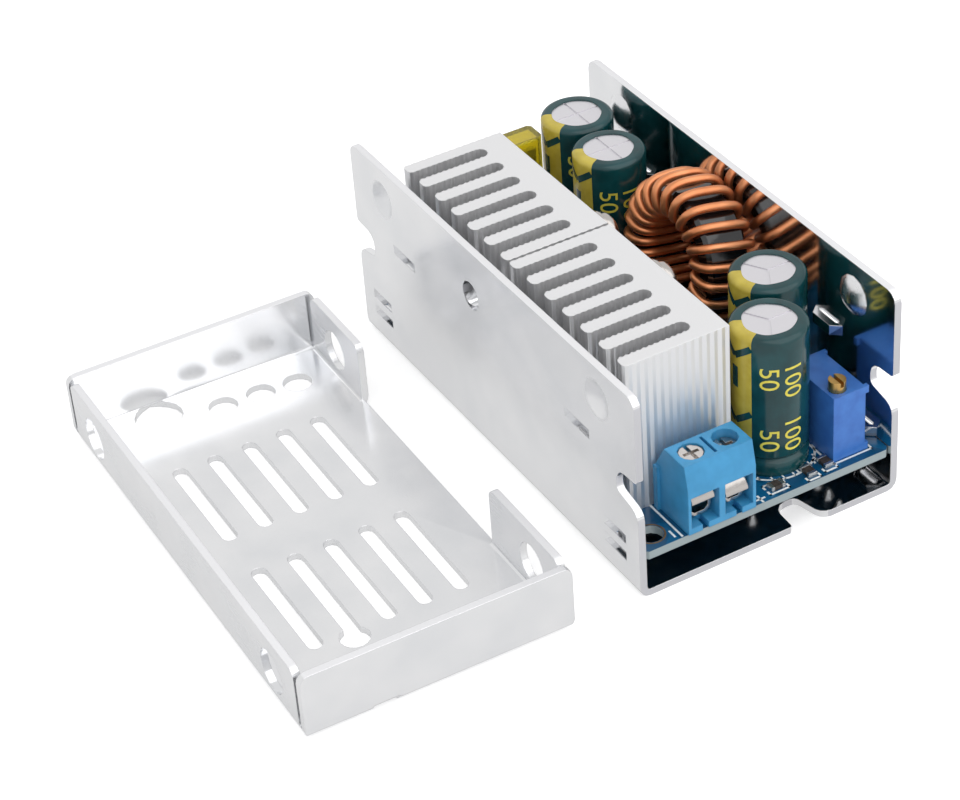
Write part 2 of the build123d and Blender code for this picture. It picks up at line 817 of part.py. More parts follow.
def choke_lead_places():
    """Where the winding's two feet pass through the board."""
    route = winding_route()
    return [(route[0].X, route[0].Y), (route[-1].X, route[-1].Y)]


def mitred_wire(points, radius, sides):
    """A many-sided bar along straight runs, mitred at every corner."""
    runs = [(end - start).normalized() for start, end in zip(points, points[1:])]
    across = runs[0].cross(Vector(0, 1, 0)).normalized()
    up = runs[0].cross(across)
    ring = []
    for side in range(sides):
        turn = radians(360 * side / sides)
        ring.append(points[0] + across * (radius * cos(turn)) + up * (radius * sin(turn)))
    faces = [polygon(ring)]
    for index, run in enumerate(runs):
        following = runs[index + 1] if index + 1 < len(runs) else run
        normal = (run + following).normalized()
        corner = points[index + 1]
        next_ring = []
        for point in ring:
            travel = (corner - point).dot(normal) / run.dot(normal)
            next_ring.append(point + run * travel)
        for side in range(sides):
            after = (side + 1) % sides
            faces.append(polygon([ring[side], ring[after], next_ring[after], next_ring[side]]))
        ring = next_ring
    faces.append(polygon(ring))
    return Solid(Shell(faces))


def choke_core():
    """Coated ring of oblong section with its corners cut."""
    thick = core_half_thickness
    wide = core_half_width
    cut = core_corner_cut
    section = [(thick, cut - wide), (thick, wide - cut), (thick - cut, wide), (cut - thick, wide),
               (-thick, wide - cut), (-thick, cut - wide), (cut - thick, -wide), (thick - cut, -wide)]
    outline = [(core_middle_radius + outward, across) for outward, across in section + section[:1]]
    return choke_frame() * Rot(X=-90) * turned(outline, core_sides)


# Fuse
def fuse_body():
    """Moulded housing, hollow round the link, with a slot for each blade."""
    low = (fuse_x - fuse_width / 2, fuse_y - fuse_length / 2, fuse_bottom_z)
    high = (fuse_x + fuse_width / 2, fuse_y + fuse_length / 2, fuse_bottom_z + fuse_body_height)
    body = box(low, high)
    body = chamfer(body.edges().filter_by(Axis.Z), fuse_corner_cut)
    body -= box([value + fuse_wall for value in low], [value - fuse_wall for value in high])
    for side in (-1, 1):
        middle = (fuse_x, fuse_y + side * blade_pitch / 2, fuse_bottom_z)
        width = blade_width - 2 * fuse_wall + 2 * clip_play
        body -= Pos(*middle) * Box(blade_thickness + 2 * clip_play, width, 4 * fuse_wall)
    return body


def fuse_link():
    """Stamped strip: two blades joined by a thin bridge inside the housing."""
    link = None
    width = blade_width - 2 * fuse_wall
    for side in (-1, 1):
        y = fuse_y + side * blade_pitch / 2
        blade = box((fuse_x - blade_thickness / 2, y - width / 2, fuse_bottom_z - blade_length),
                    (fuse_x + blade_thickness / 2, y + width / 2, fuse_bottom_z + blade_inside))
        link = blade if link is None else link + blade
    bridge_z = fuse_bottom_z + blade_inside
    strip = box((fuse_x - blade_thickness / 4, fuse_y - blade_pitch / 2, bridge_z - link_height),
                (fuse_x + blade_thickness / 4, fuse_y + blade_pitch / 2, bridge_z))
    return link + strip


def fuse_clip(side):
    """Folded spring clip: a base with two leaves that pinch the blade, and two legs."""
    y = fuse_y + side * blade_pitch / 2
    grip = blade_thickness / 2 + clip_play
    sheet = clip_sheet
    outline = [(clip_base_half, 0), (clip_base_half, clip_waist_height), (grip + sheet, clip_pinch_height),
               (clip_mouth_half + sheet, clip_height), (clip_mouth_half, clip_height),
               (grip, clip_pinch_height), (clip_base_half - sheet, clip_waist_height),
               (clip_base_half - sheet, sheet)]
    mirrored = [(-x, z) for x, z in reversed(outline)]
    points = [(fuse_x + x, board_top + z) for x, z in outline + mirrored]
    clip = prism_along_y(points, y, clip_width)
    for leg in (-1, 1):
        low_z = board_underside - lead_tail
        height = board_top - low_z
        clip += Pos(fuse_x, y + leg * clip_width / 4, low_z + height / 2) * Box(sheet, clip_leg_width, height)
    return clip


# Terminals
def terminal_housing():
    """Moulded two-pole housing in its own frame, its wire windows facing +X."""
    profile = [(0, 0), (terminal_depth, 0), (terminal_depth, terminal_front_height),
               (terminal_top_front, terminal_height), (terminal_top_back, terminal_height),
               (0, terminal_front_height)]
    housing = prism_along_y(profile, 0, terminal_width)
    rib_y = -terminal_width / 2
    housing += box((0, rib_y - terminal_rib_rise, 0), (terminal_rib_width, rib_y, terminal_front_height))
    half = terminal_window_width / 2
    inner_x = terminal_depth - terminal_front_wall
    notch = terminal_sill_notch_width / 2
    pin_hole = pin_width + 2 * pin_play
    for pole in (1, 2):
        y = pole_y(pole)
        housing -= box((terminal_wall_back, y - half, terminal_floor),
                       (inner_x, y + half, terminal_cavity_top))
        housing -= box((inner_x, y - half, terminal_floor), (terminal_depth, y + half, terminal_window_top))
        housing -= box((terminal_depth - terminal_sill_notch_depth, y - notch, 0),
                       (terminal_depth, y + notch, terminal_floor))
        floor = (pole_x, y, terminal_cavity_top)
        well_radius = pole_screw_head_radius + screw_well_play
        housing -= bar(well_radius, floor, terminal_height - terminal_cavity_top, hole_sides)
        housing -= Pos(pole_x, y, 0) * Box(pin_hole, pin_hole, 3 * terminal_floor)
    middle_x = (terminal_top_back + terminal_top_front) / 2
    groove = Box(top_groove_length, top_groove_width, 2 * top_groove_depth)
    return housing - Pos(middle_x, 0, terminal_height) * groove


def cage(pole):
    """Folded loop round the wire space, tapped in its thick top, with a pin down through the board."""
    low = cage_lift
    high = cage_lift + cage_height
    half = cage_width / 2
    sheet = cage_sheet
    radius = cage_corner_radius
    outer = eased([(-half, low, radius), (half, low, radius), (half, high, 0), (-half, high, 0)], 2)
    inner = eased([(sheet - half, low + sheet, radius - sheet), (half - sheet, low + sheet, radius - sheet),
                   (half - sheet, high - cage_top_sheet, 0), (sheet - half, high - cage_top_sheet, 0)], 1)
    y = pole_y(pole)
    loop = Pos(cage_back, y, 0) * extrude(Plane.YZ * (outer - inner), cage_front - cage_back)
    loop -= bar(pole_screw_shank_radius + pole_screw_play, (pole_x, y, high - cage_top_sheet), cage_top_sheet)
    tail_z = -board_thickness - lead_tail
    pin = Box(pin_width, pin_width, low - tail_z, align=(Align.CENTER, Align.CENTER, Align.MIN))
    return loop + Pos(pole_x, y, tail_z) * pin


def turned_down(pole):
    """How far a pole's screw and leaf sit below their highest place."""
    return second_pole_turned_down if pole == 2 else 0


def leaf_top(pole):
    """The height of the leaf's flat top, which the screw presses on."""
    return cage_lift + cage_height - cage_top_sheet - leaf_under_cage - turned_down(pole)


def leaf(pole):
    """Pressure leaf: a tongue inside the cage, its wide front lip bent down outside."""
    top = leaf_top(pole)
    y = pole_y(pole)
    half = cage_width / 2 - cage_sheet - leaf_side_play
    lip_start = cage_front + leaf_gap
    tongue = box((cage_back, y - half, top - leaf_sheet), (lip_start, y + half, top))
    lip = [(lip_start, top), (lip_start, top - leaf_sheet), (leaf_lip_end, top - leaf_sheet - leaf_lip_drop),
           (leaf_lip_end, top - leaf_lip_drop)]
    return tongue + prism_along_y(lip, y, leaf_lip_width)


def pole_screw(pole):
    """Clamping screw with a cross recess, its tip on the leaf."""
    y = pole_y(pole)
    head_low = terminal_height - pole_screw_head_sunk - pole_screw_head_height - turned_down(pole)
    tip = leaf_top(pole) + pole_screw_play
    screw = rod(pole_screw_shank_radius, (pole_x, y, tip), head_low - tip)
    screw += bar(pole_screw_head_radius, (pole_x, y, head_low), pole_screw_head_height, hole_sides)
    top = Pos(pole_x, y, head_low + pole_screw_head_height)
    wide = pole_screw_cross_width
    for length, width in [(2 * pole_screw_head_radius, wide), (wide, pole_screw_cross_length)]:
        screw -= top * Box(length, width, 2 * pole_screw_cross_depth)
    return screw


# Trimmer
def trimmer_body():
    """Moulded block with four small ears on its right side and a seat for the adjusting screw."""
    block = Box(trimmer_length, trimmer_width, trimmer_height)
    ear = Box(trimmer_ear_length, 2 * trimmer_ear_rise, trimmer_ear_height)
    for side in (-1, 1):
        for level in (-1, 1):
            ear_x = side * (trimmer_length - trimmer_ear_length) / 2
            ear_z = level * (trimmer_height - trimmer_ear_height) / 2
            block += Pos(ear_x, trimmer_width / 2, ear_z) * ear
    block = Pos(trimmer_x, trimmer_y, board_top + trimmer_height / 2) * block
    floor = (adjuster_x, adjuster_y, adjuster_floor_z)
    return block - bar(adjuster_radius + adjuster_play, floor, 2 * adjuster_seat_depth, hole_sides)


def trimmer_adjuster():
    """Slotted brass screw that stands proud of the block and turns in its seat."""
    low_z = adjuster_floor_z + adjuster_play
    high_z = board_top + trimmer_height + adjuster_proud
    screw = rod(adjuster_radius, (adjuster_x, adjuster_y, low_z), high_z - low_z)
    slot = Box(3 * adjuster_radius, adjuster_slot_width, 2 * adjuster_slot_depth)
    return screw - Pos(adjuster_x, adjuster_y, high_z) * slot


# Small parts
def chip(from_end, y, angle):
    """A rectangular chip on its pads."""
    place = Pos(end_x - from_end, y, board_top + chip_height / 2)
    return place * Rot(Z=angle) * Box(chip_length, chip_width, chip_height)


def controller_body():
    """Moulded controller with its eight leads on two sides."""
    middle_z = board_top + controller_lift + controller_height / 2
    block = Box(controller_length, controller_width, controller_height)
    block = chamfer(block.edges().group_by(Axis.Z)[-1], controller_edge_cut)
    return Pos(controller_x, controller_y, middle_z) * block


def controller_leads():
    """Eight stepped leads that stand on the board."""
    leads = []
    sheet = controller_lead_thickness
    rise = controller_lift + controller_height / 2
    reach = controller_lead_reach
    outline = [(0, rise), (reach / 2 + sheet, rise), (reach / 2 + sheet, sheet), (reach, sheet), (reach, 0),
               (reach / 2, 0), (reach / 2, rise - sheet), (0, rise - sheet)]
    for side in (-1, 1):
        for step in range(4):
            x = (step - 1.5) * controller_lead_pitch
            lead = prism_along_y(outline, 0, controller_lead_width)
            place = Pos(controller_x + x, controller_y + side * controller_width / 2, board_top)
            leads.append(place * Rot(Z=90 * side) * lead)
    return leads


def group(solids):
    """Like pieces of one node, kept as separate solids."""
    return Compound(children=[solid.solid() for solid in solids])


can_leads = [soldered_lead(x, y, board_top, can_lead_radius) for x, y in capacitor_lead_places()]
trimmer_pins = [soldered_lead(x, y, board_top, trimmer_pin_radius) for x, y in trimmer_pin_places()]
nodes = {
    "chassis": chassis(),
    "cover": cover(),
    "circuit_board": circuit_board(),
    "heatsink_far": heatsink(far_heatsink_x, transistor_x),
    "heatsink_near": heatsink(near_heatsink_x, rectifier_x),
    "insulating_pads": group([insulating_pad(transistor_x), insulating_pad(rectifier_x)]),
    "insulating_bushes": group([insulating_bush(transistor_x), insulating_bush(rectifier_x)]),
    "transistor_body": package_body(transistor_x),
    "transistor_tab": package_frame(transistor_x),
    "rectifier_body": package_body(rectifier_x),
    "rectifier_tab": package_frame(rectifier_x),
    "package_leads": group(package_leads(transistor_x) + package_leads(rectifier_x)),
    "clamp_washers": group([clamp_washer(transistor_x), clamp_washer(rectifier_x)]),
    "clamp_screws": group([clamp_screw(transistor_x), clamp_screw(rectifier_x)]),
    "choke_core": choke_core(),
    "choke_winding": mitred_wire(winding_route(), wire_radius, wire_sides),
    "fuse_body": fuse_body(),
    "fuse_link": fuse_link(),
    "fuse_clips": group([fuse_clip(-1), fuse_clip(1)]),
    "trimmer_body": trimmer_body(),
    "trimmer_adjuster": trimmer_adjuster(),
    "trimmer_pins": group(trimmer_pins),
    "chip_parts": group([chip(*place) for place in chip_places]),
    "controller_body": controller_body(),
    "controller_leads": group(controller_leads()),
    "capacitor_leads": group(can_leads),
}

score_angles = {"output": (90, 210, 330), "input": (0, 90, 180, 270)}
for side, middles in {"output": output_capacitors, "input": input_capacitors}.items():
    for number, middle in enumerate(middles, 1):
        nodes[f"{side}_capacitor_{number}_can"] = capacitor_can(*middle, score_angles[side])
        nodes[f"{side}_capacitor_{number}_sleeve"] = capacitor_sleeve(*middle)

for name, frame in terminal_frames().items():
    nodes[name + "_terminal_housing"] = frame * terminal_housing()
    nodes[name + "_terminal_cages"] = group([frame * cage(1), frame * cage(2)])
    for pole in (1, 2):
        nodes[f"{name}_leaf_{pole}"] = frame * leaf(pole)
        nodes[f"{name}_screw_{pole}"] = frame * pole_screw(pole)

for name, shape in nodes.items():
    export_step(shape, f"parts/{name}.step")
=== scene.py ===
import math

import bmesh
import bpy
from mathutils import Matrix, Vector


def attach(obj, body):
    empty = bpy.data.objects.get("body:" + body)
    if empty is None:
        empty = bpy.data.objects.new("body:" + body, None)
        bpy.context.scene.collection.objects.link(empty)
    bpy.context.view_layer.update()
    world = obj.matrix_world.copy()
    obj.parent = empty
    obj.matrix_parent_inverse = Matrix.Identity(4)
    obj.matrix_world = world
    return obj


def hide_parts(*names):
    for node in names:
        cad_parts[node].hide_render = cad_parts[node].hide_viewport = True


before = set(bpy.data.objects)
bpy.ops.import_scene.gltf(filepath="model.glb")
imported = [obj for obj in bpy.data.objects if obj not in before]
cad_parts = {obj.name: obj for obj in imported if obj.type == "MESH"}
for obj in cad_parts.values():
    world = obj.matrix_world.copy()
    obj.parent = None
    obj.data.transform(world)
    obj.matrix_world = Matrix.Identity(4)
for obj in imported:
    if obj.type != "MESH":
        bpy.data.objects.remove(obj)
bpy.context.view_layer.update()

# Camera. It stands above the output end, to the left of the module, and looks down along it.
# The place and the two directions were fitted to the folded edges of the chassis.
camera_place = (0.2635355, -0.1570950, 0.2303073)
picture_right = Vector((0.49935286, 0.86401209, -0.06426377))
picture_up = Vector((-0.49232168, 0.34400483, 0.7995499))
lens_mm = 106.18
film_mm = 36.0
nearest_seen = 0.01
farthest_seen = 10.0
camera_data = bpy.data.cameras.new("camera")
camera_data.lens = lens_mm
camera_data.sensor_width = film_mm
camera_data.clip_start = nearest_seen
camera_data.clip_end = farthest_seen
camera = bpy.data.objects.new("camera", camera_data)
turn = Matrix((picture_right, picture_up, picture_right.cross(picture_up))).transposed()
camera.matrix_world = Matrix.Translation(camera_place) @ turn.to_4x4()
bpy.context.scene.collection.objects.link(camera)
bpy.context.scene.camera = camera


# Chassis. One piece of bright rolled aluminium sheet, blanked, pierced, lanced and folded into a
# channel. It carries the board, and its two walls press on the heatsinks' sides.
mm_per_m = 1000
edge_samples = 4
noise_low = 0.3
noise_high = 0.7
weld_distance = 2e-6


def linear(colour):
    """An sRGB hex colour as linear red, green, blue and alpha."""
    parts = [int(colour[place:place + 2], 16) / 255 for place in (1, 3, 5)]
    light = [part / 12.92 if part <= 0.04045 else ((part + 0.055) / 1.055) ** 2.4
             for part in parts]
    return light + [1.0]


def add(tree, kind, settings=None, inputs=None):
    """One node with its settings. An input is a value, or the output that feeds it."""
    made = tree.nodes.new(kind)
    for name, value in (settings or {}).items():
        setattr(made, name, value)
    for name, value in (inputs or {}).items():
        if isinstance(value, bpy.types.NodeSocket):
            tree.links.new(value, made.inputs[name])
        else:
            made.inputs[name].default_value = value
    return made


def begin(name, colour, metallic=0.0, roughness=0.5, edge_mm=0.12):
    """A new material, its tree and its shader. Edges catch the light as if eased by edge_mm."""
    made = bpy.data.materials.new(name)
    made.use_nodes = True
    tree = made.node_tree
    shader = tree.nodes["Principled BSDF"]
    eased = add(tree, "ShaderNodeBevel", {"samples": edge_samples}, {"Radius": edge_mm / mm_per_m})
    tree.links.new(eased.outputs["Normal"], shader.inputs["Normal"])
    shader.inputs["Base Color"].default_value = linear(colour)
    shader.inputs["Metallic"].default_value = metallic
    shader.inputs["Roughness"].default_value = roughness
    return made, tree, shader


def noise(tree, size_mm, detail=2.0, stretch=(1.0, 1.0, 1.0)):
    """Soft blotches about size_mm across, longer along an axis whose stretch is above 1."""
    place = add(tree, "ShaderNodeTexCoord").outputs["Object"]
    scale = [mm_per_m / size_mm / share for share in stretch]
    moved = add(tree, "ShaderNodeMapping", {"vector_type": "POINT"},
                {"Vector": place, "Scale": scale})
    return add(tree, "ShaderNodeTexNoise", None,
               {"Vector": moved.outputs["Vector"], "Scale": 1.0, "Detail": detail}).outputs["Fac"]


def spread(tree, value, low=0.0, high=1.0):
    """A noise, which mostly stays between noise_low and noise_high, spread between low and high."""
    return add(tree, "ShaderNodeMapRange", None,
               {"Value": value, "From Min": noise_low, "From Max": noise_high,
                "To Min": low, "To Max": high}).outputs["Result"]


def blend(tree, share, first, second):
    """Two colours, each a hex name or an output, mixed by share."""
    mix = add(tree, "ShaderNodeMix", {"data_type": "RGBA"}, {"Factor": share})
    first_place, second_place, result_place = 6, 7, 2
    for place, colour in ((first_place, first), (second_place, second)):
        if isinstance(colour, str):
            mix.inputs[place].default_value = linear(colour)
        else:
            tree.links.new(colour, mix.inputs[place])
    return mix.outputs[result_place]


def bump(tree, shader, height, depth_mm):
    """Relief of depth_mm from a height between 0 and 1, on top of what relief there is."""
    below = shader.inputs["Normal"].links[0].from_socket
    made = add(tree, "ShaderNodeBump", None,
               {"Height": height, "Strength": 1.0, "Distance": depth_mm / mm_per_m,
                "Normal": below})
    tree.links.new(made.outputs["Normal"], shader.inputs["Normal"])


def ripple(tree, shader, size_mm, depth_mm, detail=2.0):
    """Relief in soft blotches: the waver of a sheet or film, or the grain of a moulding."""
    bump(tree, shader, noise(tree, size_mm, detail), depth_mm)


def math_of(tree, operation, first, second=0.0):
    """One sum on two values or outputs."""
    return add(tree, "ShaderNodeMath", {"operation": operation}, {0: first, 1: second}).outputs[0]


def facing(tree, axis, share=0.9):
    """1 where the surface faces along an axis, either way, by more than share."""
    normal = add(tree, "ShaderNodeTexCoord").outputs["Normal"]
    parts = add(tree, "ShaderNodeSeparateXYZ", None, {"Vector": normal})
    size = math_of(tree, "ABSOLUTE", parts.outputs[axis])
    return math_of(tree, "GREATER_THAN", size, share)


def soft_shading(sharp_degrees):
    """A modifier's tree: welds a mesh and shades it round, apart from its sharper edges."""
    tree = bpy.data.node_groups.new("soft_shading", "GeometryNodeTree")
    tree.interface.new_socket("Geometry", in_out="INPUT", socket_type="NodeSocketGeometry")
    tree.interface.new_socket("Geometry", in_out="OUTPUT", socket_type="NodeSocketGeometry")
    start = add(tree, "NodeGroupInput")
    bare = add(tree, "GeometryNodeRemoveAttribute", None,
               {"Geometry": start.outputs[0], "Name": "custom_normal"})
    welded = add(tree, "GeometryNodeMergeByDistance", None,
                 {"Geometry": bare.outputs[0], "Distance": weld_distance})
    faces = add(tree, "GeometryNodeSetShadeSmooth", {"domain": "FACE"},
                {"Geometry": welded.outputs[0]})
    angle = add(tree, "GeometryNodeInputMeshEdgeAngle").outputs["Unsigned Angle"]
    sharp = math_of(tree, "GREATER_THAN", angle, math.radians(sharp_degrees))
    edges = add(tree, "GeometryNodeSetShadeSmooth", {"domain": "EDGE"},
                {"Geometry": faces.outputs[0], "Selection": sharp, "Shade Smooth": False})
    end = add(tree, "NodeGroupOutput")
    tree.links.new(edges.outputs[0], end.inputs[0])
    return tree


turned_shading = soft_shading(sharp_degrees=36)


def wear(node_names, material, shading=turned_shading):
    """Gives CAD nodes their material and soft shading."""
    for name in node_names:
        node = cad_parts[name]
        for slot in node.material_slots:
            slot.material = material
        node.modifiers.new("soft_shading", "NODES").node_group = shading


# Places on the sheet that its shader tests, in metres, and what some of them add to its roughness.
dome_from_middle = 0.0272
dome_height = 0.0257
dome_radius = 0.0028
outside_from = 0.01
sheared_roughness = 0.3
outside_roughness = 0.1
dome_roughness = 0.16


def rolled_aluminium(name, end_share, rim_mm, haze):
    """Bright rolled sheet: a soft mirror, duller outside and on its domes, matt where sheared.
    An end_share above 1 leaves the ends bright, and haze is added everywhere."""
    made, tree, shader = begin(name, "#ececee", metallic=1.0, roughness=0.1, edge_mm=0.15)
    blotches = noise(tree, size_mm=9.0, detail=3.0)
    spots = add(tree, "ShaderNodeTexCoord")
    place = add(tree, "ShaderNodeSeparateXYZ", None, {"Vector": spots.outputs["Object"]})
    normal = add(tree, "ShaderNodeSeparateXYZ", None, {"Vector": spots.outputs["Normal"]})
    ends = facing(tree, 0, end_share)
    rims = math_of(tree, "MULTIPLY", facing(tree, 2),
                   math_of(tree, "GREATER_THAN", place.outputs[2], rim_mm / mm_per_m))
    outward = math_of(tree, "MULTIPLY", place.outputs[1], normal.outputs[1])
    outside = math_of(tree, "GREATER_THAN", outward, outside_from)
    along = math_of(tree, "SUBTRACT", math_of(tree, "ABSOLUTE", place.outputs[0]), dome_from_middle)
    above = math_of(tree, "SUBTRACT", place.outputs[2], dome_height)
    apart = math_of(tree, "ADD", math_of(tree, "POWER", along, 2.0),
                    math_of(tree, "POWER", above, 2.0))
    domes = math_of(tree, "LESS_THAN", apart, dome_radius ** 2)
    faces = blend(tree, spread(tree, blotches), "#e9eaec", "#f3f3f4")
    faces = blend(tree, ends, faces, "#d6d6da")
    tree.links.new(blend(tree, rims, faces, "#f8f8fa"), shader.inputs["Base Color"])
    # The rolling lines run along X, drawn 0.12 mm apart, coarser than real ones, so that they show.
    lines = noise(tree, size_mm=0.12, stretch=(120.0, 1.0, 1.0))
    rough = math_of(tree, "ADD", spread(tree, blotches, low=0.05, high=0.12),
                    spread(tree, lines, low=0.0, high=0.03))
    sheared = math_of(tree, "MAXIMUM", ends, rims)
    for mask, extra in ((sheared, sheared_roughness), (outside, outside_roughness),
                        (domes, dome_roughness)):
        rough = math_of(tree, "ADD", rough, math_of(tree, "MULTIPLY", mask, extra))
    tree.links.new(math_of(tree, "ADD", rough, haze), shader.inputs["Roughness"])
    ripple(tree, shader, size_mm=7.0, depth_mm=0.02, detail=1.0)
    bump(tree, shader, lines, depth_mm=0.0003)
    return made


wear(["chassis"],
     rolled_aluminium("rolled_aluminium_channel", end_share=0.95, rim_mm=30.3, haze=0.0))


# Circuit board. Glass-fibre laminate with copper, a glossy blue solder mask and a white printed
# legend. It rests on the lower lanced bridges of the walls and carries every other piece.
board_top = 6.7
print_lift = 0.012
print_width = 0.3
output_terminal_print = [(28.0, -12.9), (35.2, -12.9)]
ring_middle = (27.5, 5.45)
ring_radius = 5.75
ring_steps = 48
hatch_count = 7
hatch_reach = 4.2
hatch_step = 1.4
hatch_share = 0.88
hatch_width = 0.2
chip_prints = [((33.4, 9.9), 2.9, 1.9), ((33.75, 7.1), 2.9, 1.9), ((33.8, 2.1), 1.9, 2.9)]
chip_print_foot = 0.6
trimmer_print = [(24.1, 10.5), (34.2, 10.5), (34.2, 16.6), (24.1, 16.6)]
minus_sign = (34.2, -13.7)
plus_sign = (34.7, -0.9)
sign_length = 1.2
hole_middle = (32.7, -15.9)
hole_radius = 1.65
hole_gap = 0.05
pad_radius = 1.95


def mottle(tree, shader, first, second, size_mm, detail=2.0):
    """Two close colours that run into each other in soft blotches."""
    share = spread(tree, noise(tree, size_mm, detail))
    tree.links.new(blend(tree, share, first, second), shader.inputs["Base Color"])


def solder_mask():
    """Blue lacquer over copper: glossy, stepped over tracks, with grey edges; painted shade
    beneath.
    """
    made, tree, shader = begin("blue_solder_mask", "#0e5a88", roughness=0.28)
    shader.inputs["Coat Weight"].default_value = 0.3
    shader.inputs["Coat Roughness"].default_value = 0.15
    tracks = spread(tree, noise(tree, size_mm=2.5, detail=0.0), low=-4.0, high=5.0)
    face = blend(tree, tracks, "#05486d", "#095a84")
    normal = add(tree, "ShaderNodeTexCoord").outputs["Normal"]
    upward = add(tree, "ShaderNodeSeparateXYZ", None, {"Vector": normal}).outputs[2]
    # Painted shade: faces that look down get a darker blue, though the mask there is the same blue.
    painted_shade_beneath = math_of(tree, "LESS_THAN", upward, -0.5)
    face = blend(tree, painted_shade_beneath, face, "#0b2a3c")
    tree.links.new(blend(tree, facing(tree, 2), "#8f9c9f", face), shader.inputs["Base Color"])
    bump(tree, shader, tracks, depth_mm=0.02)
    ripple(tree, shader, size_mm=0.6, depth_mm=0.006)
    return made


def white_print():
    """White legend ink: matt, a little worn."""
    made, tree, shader = begin("screen_printed_legend", "#e9ecea", roughness=0.6)
    mottle(tree, shader, "#d9dedd", "#f2f4f3", size_mm=0.5)
    return made


def bare_laminate():
    """Brown bare laminate where the mask is left off round the fixing hole."""
    made, tree, shader = begin("bare_laminate", "#6b5230")
    mottle(tree, shader, "#5b4527", "#7c6138", size_mm=0.7)
    return made


def piece(name, corners, faces, material, sharp_degrees=40.0):
    """A mesh from corner points in millimetres that rides on the fixed body."""
    mesh = bpy.data.meshes.new(name)
    mesh.from_pydata([Vector(corner) / mm_per_m for corner in corners], [], faces)
    mesh.materials.append(material)
    mesh.shade_smooth()
    mesh.set_sharp_from_angle(angle=math.radians(sharp_degrees))
    made = bpy.data.objects.new(name, mesh)
    bpy.context.scene.collection.objects.link(made)
    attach(made, "root")
    return made


def stroke(corners, faces, first, last, width):
    """Adds one printed line on the board, flat and square-ended."""
    along = (Vector(last) - Vector(first)).normalized() * width / 2
    aside = Vector((-along.y, along.x))
    start, end = Vector(first) - along, Vector(last) + along
    count = len(corners)
    for point in (start - aside, end - aside, end + aside, start + aside):
        corners.append((point.x, point.y, board_top + print_lift))
    faces.append((count, count + 1, count + 2, count + 3))


def line(corners, faces, points, width=print_width):
    """Adds a printed line through several points."""
    for first, last in zip(points, points[1:]):
        stroke(corners, faces, first, last, width)


def flat_ring(middle, inner, outer):
    """Corner points and faces of a flat ring on the board."""
    corners, faces = [], []
    for step in range(ring_steps + 1):
        angle = math.radians(360 * step / ring_steps)
        for radius in (inner, outer):
            corners.append((middle[0] + radius * math.cos(angle),
                            middle[1] + radius * math.sin(angle), board_top + print_lift))
        if step:
            count = len(corners)
            faces.append((count - 4, count - 3, count - 1, count - 2))
    return corners, faces


def legend():
    """Outlines round the pieces at the output end, and plain plus and minus signs."""
    corners, faces = flat_ring(ring_middle, ring_radius - print_width / 2,
                               ring_radius + print_width / 2)
    line(corners, faces, output_terminal_print)
    line(corners, faces, trimmer_print + trimmer_print[:1])
    for (x, y), length, width in chip_prints:
        for end in (-1, 1):
            reach = x + end * length / 2
            foot = reach - end * chip_print_foot
            line(corners, faces, [(foot, y - width / 2), (reach, y - width / 2),
                                  (reach, y + width / 2), (foot, y + width / 2)])
    for step in range(hatch_count):
        across = ring_middle[1] - hatch_reach + hatch_step * step
        reach = math.sqrt(ring_radius ** 2 - (across - ring_middle[1]) ** 2)
        hatch = [(ring_middle[0] + share * reach, across) for share in (hatch_share, 1.0)]
        line(corners, faces, hatch, hatch_width)
    for x, y in (minus_sign, plus_sign):
        line(corners, faces, [(x - sign_length / 2, y), (x + sign_length / 2, y)])
    x, y = plus_sign
    line(corners, faces, [(x, y - sign_length / 2), (x, y + sign_length / 2)])
    return corners, faces


wear(["circuit_board"], solder_mask())
piece("board_legend", *legend(), white_print())
piece("board_hole_rim", *flat_ring(hole_middle, hole_radius + hole_gap, pad_radius),
      bare_laminate())


# Controller and chip parts. A moulded epoxy chip with tinned leads, and small fired ceramic parts
# soldered beside it. They sit on the board, most of them under the terminal and the choke.
def vary_gloss(tree, shader, size_mm, low, high, detail=2.0):
    """A roughness that wanders between low and high in soft blotches."""
    rough = spread(tree, noise(tree, size_mm, detail), low, high)
    tree.links.new(rough, shader.inputs["Roughness"])


def moulded_epoxy():
    """Black moulding compound: matt, with the mould's fine grain drawn coarse enough to show."""
    made, tree, shader = begin("moulded_black_epoxy", "#1c1d1f", roughness=0.55)
    ripple(tree, shader, size_mm=0.12, depth_mm=0.006, detail=3.0)
    vary_gloss(tree, shader, size_mm=1.5, low=0.48, high=0.62)
    return made


def tinned_copper():
    """Copper dipped in tin: pale, soft reflections, with a slightly uneven skin."""
    made, tree, shader = begin("tinned_copper", "#cfd0d0", metallic=1.0, roughness=0.3)
    vary_gloss(tree, shader, size_mm=0.8, low=0.22, high=0.4)
    ripple(tree, shader, size_mm=0.4, depth_mm=0.01)
    return made


def fired_ceramic():
    """Dark fired ceramic body with a fine sandy surface."""
    made, tree, shader = begin("fired_chip_ceramic", "#3b3430", roughness=0.45)
    mottle(tree, shader, "#2c2724", "#4a423c", size_mm=0.4, detail=3.0)
    return made


chip_size = (2.0, 1.25, 0.6)
chip_end = 0.42
chip_lift = 0.03


def block(corners, faces, low, high, place):
    """Adds a box between two corners, moved by a place."""
    count = len(corners)
    for z in (low[2], high[2]):
        for x, y in ((low[0], low[1]), (high[0], low[1]), (high[0], high[1]), (low[0], high[1])):
            corners.append(place @ Vector((x, y, z)))
    for side in ((3, 2, 1, 0), (4, 5, 6, 7), (0, 1, 5, 4), (1, 2, 6, 5), (2, 3, 7, 6),
                 (3, 0, 4, 7)):
        faces.append([count + corner for corner in side])


